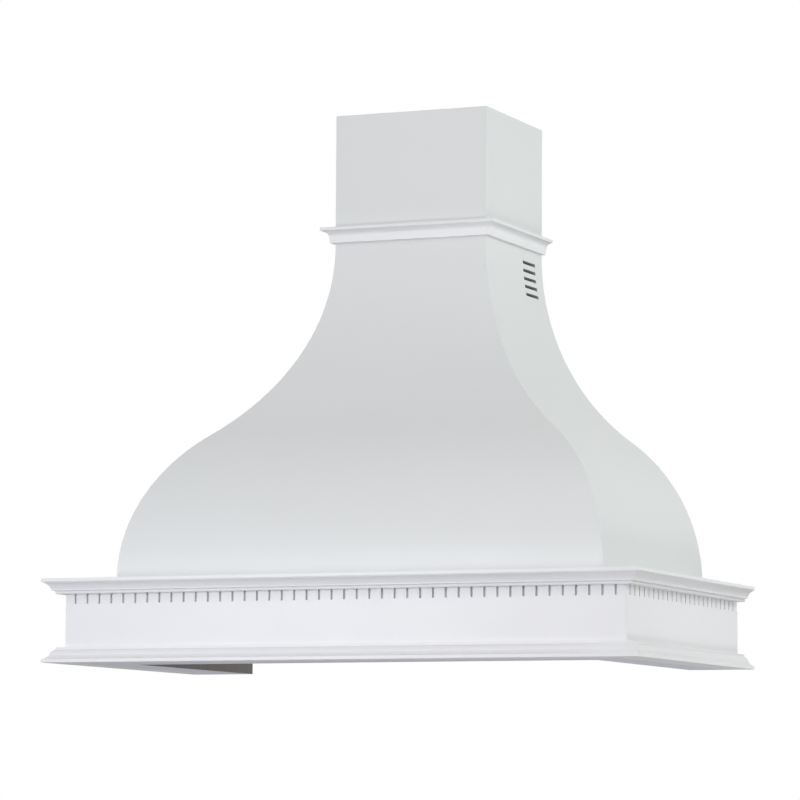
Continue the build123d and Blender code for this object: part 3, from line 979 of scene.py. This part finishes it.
# %% Copies with eased edges
def eased_copy(node_name, suffix, material, bare=None, width=0.5 * MM):
    """A copy of a CAD node with its triangles merged into flat faces and its arrises bevelled.

    bare(normal) may say of each face how much raw wood shows.
    """
    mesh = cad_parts[node_name].data.copy()
    mesh.name = node_name + "_" + suffix
    work = bmesh.new()
    work.from_mesh(mesh)
    bmesh.ops.remove_doubles(work, verts=work.verts, dist=1e-6)
    bmesh.ops.dissolve_limit(work, angle_limit=np.radians(1), verts=work.verts, edges=work.edges)
    layer = work.faces.layers.float.new("bare")
    for face in work.faces:
        face.smooth = False
        face[layer] = bare(face.normal) if bare else 0.0
    work.to_mesh(mesh)
    work.free()
    obj = hang(bpy.data.objects.new(mesh.name, mesh), node_name, material)
    bevel = obj.modifiers.new("eased arrises", "BEVEL")
    bevel.width = width
    bevel.segments = 2
    bevel.limit_method = "ANGLE"
    bevel.angle_limit = np.radians(40)
    return obj


def underside_bare(normal):
    """Paint on the lower face only."""
    return 0.0 if normal.z < -0.5 else 1.0


def deck_bare(normal):
    """Paint on the whole top, which outside the bell is the shelf."""
    return 0.0 if normal.z > 0.5 else 1.0


# %% Boards, rails, blocks and battens
# the underside takes the darker, bluer coat of painted shade
eased_copy("underside_board", "panel", underside_shade_paint, underside_bare)
eased_copy("shelf_deck", "panel", trim_paint, deck_bare)
eased_copy("duct_board", "ply", ply_through_z)
for rail in ("lower_wall_rail", "upper_wall_rail", "chimney_rail"):
    eased_copy(rail, "pine", pine_along_x)
for side in ("left", "right"):
    eased_copy("corner_block_" + side, "pine", pine_upright)
    eased_copy("chimney_batten_" + side, "pine", pine_upright)

# %% [markdown]
# ## Screws
#
# Ten hex-head screws hold the frame together. A screw is one surface of two parameters: the turn a round
# the axis and a line drawn from the middle of the head to the point. Round the head the radius follows
# the hexagon, flat / cos((a + 30) mod 60 - 30 degrees), and on the shank a thread rises from the core. A
# Screw modifier could turn the thread, but its ends would stay open.

# %% Screws
thread_pitch = 1.8 * MM
thread_depth = 0.5 * MM
point_length = 5 * MM
neck_length = 0.4 * MM
head_flat = 4.0 * MM
head_height = 2.8 * MM
shank_radius = 2.0 * MM
screw_length = 33 * MM


def screw_points():
    """A grid of 48 turns by the screw's profile; z = 0 is the face that the head bears on."""
    turn = np.radians(np.arange(0, 360, 7.5))
    hexagon = head_flat / np.cos((turn + np.radians(30)) % np.radians(60) - np.radians(30))
    head_z = np.array([-1.0, -1.0, -0.86, -0.3, 0.0, 0.0]) * head_height
    head_size = np.array([0.0, 0.86, 1.0, 1.0, 1.0, 0.0])
    head = np.minimum(head_size[:, None] * hexagon, head_flat * np.array([9, 0.94, 1.08, 9, 9, 9])[:, None])
    head[-1] = shank_radius
    shank_z = np.linspace(neck_length, screw_length, 120)
    ridge = (shank_z[:, None] / thread_pitch - turn / (2 * np.pi)) % 1.0
    taper = np.clip((screw_length - shank_z) / point_length, 0, 1)[:, None]
    thread = np.clip(1 - np.abs(ridge - 0.5) * 4, 0, 1) * thread_depth
    shank = (shank_radius - thread_depth + thread) * taper
    radius = np.concatenate([head, shank])
    z = np.concatenate([head_z, shank_z])[:, None]
    return np.stack([radius * np.cos(turn), radius * np.sin(turn), z + 0 * radius], axis=-1)


def add_screws(node_name, places, face_z, points_up):
    """One piece that holds all the screws of a group, at places (x, depth)."""
    one = screw_points() * ([1, 1, 1] if points_up else [1, -1, -1])
    rows, count = one.shape[:2]
    quads = grid_quads(rows, count, closed=True)
    groups = [one + [x, wall - depth, face_z] for x, depth in places]
    faces = np.concatenate([quads + i * rows * count for i in range(len(places))])
    add_piece(node_name + "_zinc", node_name, np.concatenate(groups), faces.tolist(), bright_zinc,
              "zinc_steel")


# %% Places of the screws
rib_line = side_reach[0] - skin - rib_width / 2
front_line = front_reach[0] - skin - rib_width / 2
middle_of = {name: np.mean(sides(name), axis=1) for name in
             ("side_rib_right", "side_jack_rib_right", "front_jack_rib_right", "front_rib_right",
              "rear_rib_right")}
sole_places = [(middle_of["front_jack_rib_right"][0], front_line),
               (rib_line, wall - middle_of["side_rib_right"][1]),
               (rib_line, wall - middle_of["side_jack_rib_right"][1])]
top_places = [(side_reach[1] - skin - rib_width / 2, wall - middle_of["rear_rib_right"][1]),
              (middle_of["front_rib_right"][0], front_reach[1] - skin - rib_width / 2)]
both_sides = [[(sign * x, depth) for sign in (-1, 1) for x, depth in group]
              for group in (sole_places, top_places)]
add_screws("sole_screws", both_sides[0], deck_bottom, True)
add_screws("duct_board_screws", both_sides[1], bell_top, False)
print("screws:", len(both_sides[0]) + len(both_sides[1]))

# %% [markdown]
# ## The camera
#
# The picture was taken from low down, a little to the right and far away with a long lens. The place and
# the angles come from the edges of the hood itself: its level lines run towards two vanishing points,
# and its known proportions fix the distance.

# %% Camera
image_width = 800              # the photograph's width in pixels
focal_length_px = 3986.5
yaw, pitch, roll = np.radians([23.1668, 5.961, -0.350])
camera_place = (2.2813, -5.3391, -0.21725)

level_right = np.array([np.cos(yaw), np.sin(yaw), 0])
level_ahead = np.array([-np.sin(yaw), np.cos(yaw), 0])
up = np.array([0, 0, 1])
ahead = np.cos(pitch) * level_ahead + np.sin(pitch) * up
above = -np.sin(pitch) * level_ahead + np.cos(pitch) * up
camera_right = np.cos(roll) * level_right - np.sin(roll) * above
camera_up = np.sin(roll) * level_right + np.cos(roll) * above

camera_data = bpy.data.cameras.new("camera")
camera_data.sensor_width = 36.0
camera_data.lens = camera_data.sensor_width * focal_length_px / image_width
camera_data.clip_end = 60.0
camera = bpy.data.objects.new("camera", camera_data)
bpy.context.scene.collection.objects.link(camera)
axes = np.stack([camera_right, camera_up, -ahead, camera_place], axis=1)
camera.matrix_world = Matrix([*axes.tolist(), [0, 0, 0, 1]])
bpy.context.scene.camera = camera
print("lens", round(camera_data.lens, 2), "mm")

# %% [markdown]
# ## Floor, backdrop and light
#
# The hood hangs at the height of a real one, with the floor well below the camera. The backdrop is white
# because the world shows white to the camera, not because more light is thrown at the hood. For the
# same reason the floor has a glow that only the camera and reflections see: it looks pale, it keeps the
# shadow, and it lights nothing. From underneath, the camera looks through it, to see the underside.

# %% Floor
floor_height = -1.6
floor_half = 15.0
floor_glow = 0.5               # as the camera sees it
floor_gleam = 0.12             # as it shows in gloss


def floor_finish():
    """A pale matt floor, with a glow for the camera, that a camera below it sees through."""
    finish = Finish("pale_floor")
    tree = finish.tree
    cast = finish.noise(1.5)
    colour = finish.mix(cast, shade((0.86, 0.86, 0.86)), shade((0.90, 0.90, 0.90)))
    matt = node(tree, "BsdfDiffuse", None, {"Color": colour})
    seen = node(tree, "LightPath", output="Is Camera Ray")
    shiny = node(tree, "LightPath", output="Is Glossy Ray")
    glassy = node(tree, "LightPath", output="Is Transmission Ray")
    strength = floor_glow * seen.maths("MAXIMUM", glassy) + floor_gleam * shiny
    glow = node(tree, "Emission", None, {"Color": (1, 1, 1, 1), "Strength": strength})
    pale = node(tree, "AddShader", None, {0: matt, 1: glow})
    through = node(tree, "BsdfTransparent")
    back = node(tree, "NewGeometry", output="Backfacing")
    shader = node(tree, "MixShader", None, {0: back * seen, 1: pale, 2: through})
    node(tree, "OutputMaterial", None, {"Surface": shader})
    return finish.material


floor_mesh = bpy.data.meshes.new("floor")
corner_places = [(x * floor_half, y * floor_half, floor_height) for x, y in CORNER_SIGNS]
floor_mesh.from_pydata(corner_places, [], [(0, 1, 2, 3)])
floor_mesh.materials.append(floor_finish())
floor = bpy.data.objects.new("floor", floor_mesh)
bpy.context.scene.collection.objects.link(floor)
print("floor at", floor_height)

# %% [markdown]
# ### The room's own light
#
# A plain even glow from all sides fills the shadows. The same world looks white to the camera and in
# reflections, so the backdrop is white although the glow on the paint is weak.

# %% World
ambient = 0.25
world = bpy.data.worlds.new("white_room")
bpy.context.scene.world = world
world.use_nodes = True
world.node_tree.nodes.clear()
room = world.node_tree
seen_directly = node(room, "LightPath", output="Is Camera Ray")
seen_in_gloss = node(room, "LightPath", output="Is Glossy Ray")
seen_through = node(room, "LightPath", output="Is Transmission Ray")
shown_white = seen_directly.maths("MAXIMUM", seen_in_gloss).maths("MAXIMUM", seen_through)
strength = ambient + (1.0 - ambient) * shown_white
white = node(room, "Background", None, {"Color": (1, 1, 1, 1), "Strength": strength})
node(room, "OutputWorld", None, {"Surface": white})
print("even glow:", ambient)

# %% [markdown]
# ### Soft boxes
#
# Several soft boxes close to the hood give light like the photograph's. The strongest in front is low and
# gives the frieze its bright middle, those at the side keep the side faces nearly as light, and one near
# the floor stands for what a pale floor throws back and fills the undercuts. Their strengths were found
# by rendering the hood once for each lamp, because light adds up: the picture is a sum of such renders,
# and the shares are what has to be solved. Only the box on the far side has a given strength: it lights
# what the photograph doesn't show, so that the hood looks right all round.
# The tints are slight: cool low in front, warm above and by the corner, a trace of green at the side.

# %% Lamps
hood_middle = np.array([0.0, 0.0, 0.35])
COOL = (0.963, 0.981, 1.056)
NEUTRAL = (1.0, 1.0, 1.0)
WARM = (1.035, 1.0, 0.965)
LEAFY = (0.968, 1.031, 1.0)
LAMPS = {
    "low_front_box": ((-0.7, -2.0, 0.15), 0.8, 14.5, COOL),
    "right_front_box": ((0.6, -2.0, 0.1), 0.8, 3.5, NEUTRAL),
    "high_front_box": ((0.0, -1.6, 1.6), 0.8, 6.5, WARM),
    "left_box": ((-1.6, -3.0, 1.6), 1.5, 6.1, NEUTRAL),
    "side_front_box": ((1.5, -1.2, 0.75), 0.8, 4.0, WARM),
    "side_high_box": ((1.3, 0.2, 0.9), 0.8, 6.1, LEAFY),
    "side_back_box": ((2.0, 1.6, 0.7), 1.0, 5.8, NEUTRAL),
    "far_side_box": ((-1.8, 0.8, 0.6), 1.2, 16.0, NEUTRAL),
    "floor_bounce": ((1.8, 0.0, -1.45), 1.5, 18.1, NEUTRAL),
}


def add_lamp(name, place, size, power, tint):
    """A square soft box that looks at the middle of the hood; the camera doesn't see it."""
    data = bpy.data.lights.new(name, "AREA")
    data.energy = power
    data.color = tint
    data.size = size
    lamp = bpy.data.objects.new(name, data)
    bpy.context.scene.collection.objects.link(lamp)
    behind = np.array(place) - hood_middle
    behind /= np.linalg.norm(behind)
    across = np.cross([0, 1, 0.01], behind)
    across /= np.linalg.norm(across)
    turned = np.stack([across, np.cross(behind, across), behind, place], axis=1)
    lamp.matrix_world = Matrix([*turned.tolist(), [0, 0, 0, 1]])
    lamp.visible_camera = False
    return lamp


for lamp_name, settings in LAMPS.items():
    add_lamp(lamp_name, *settings)
bpy.context.scene.view_settings.view_transform = "Standard"
print("lamps:", len(LAMPS))
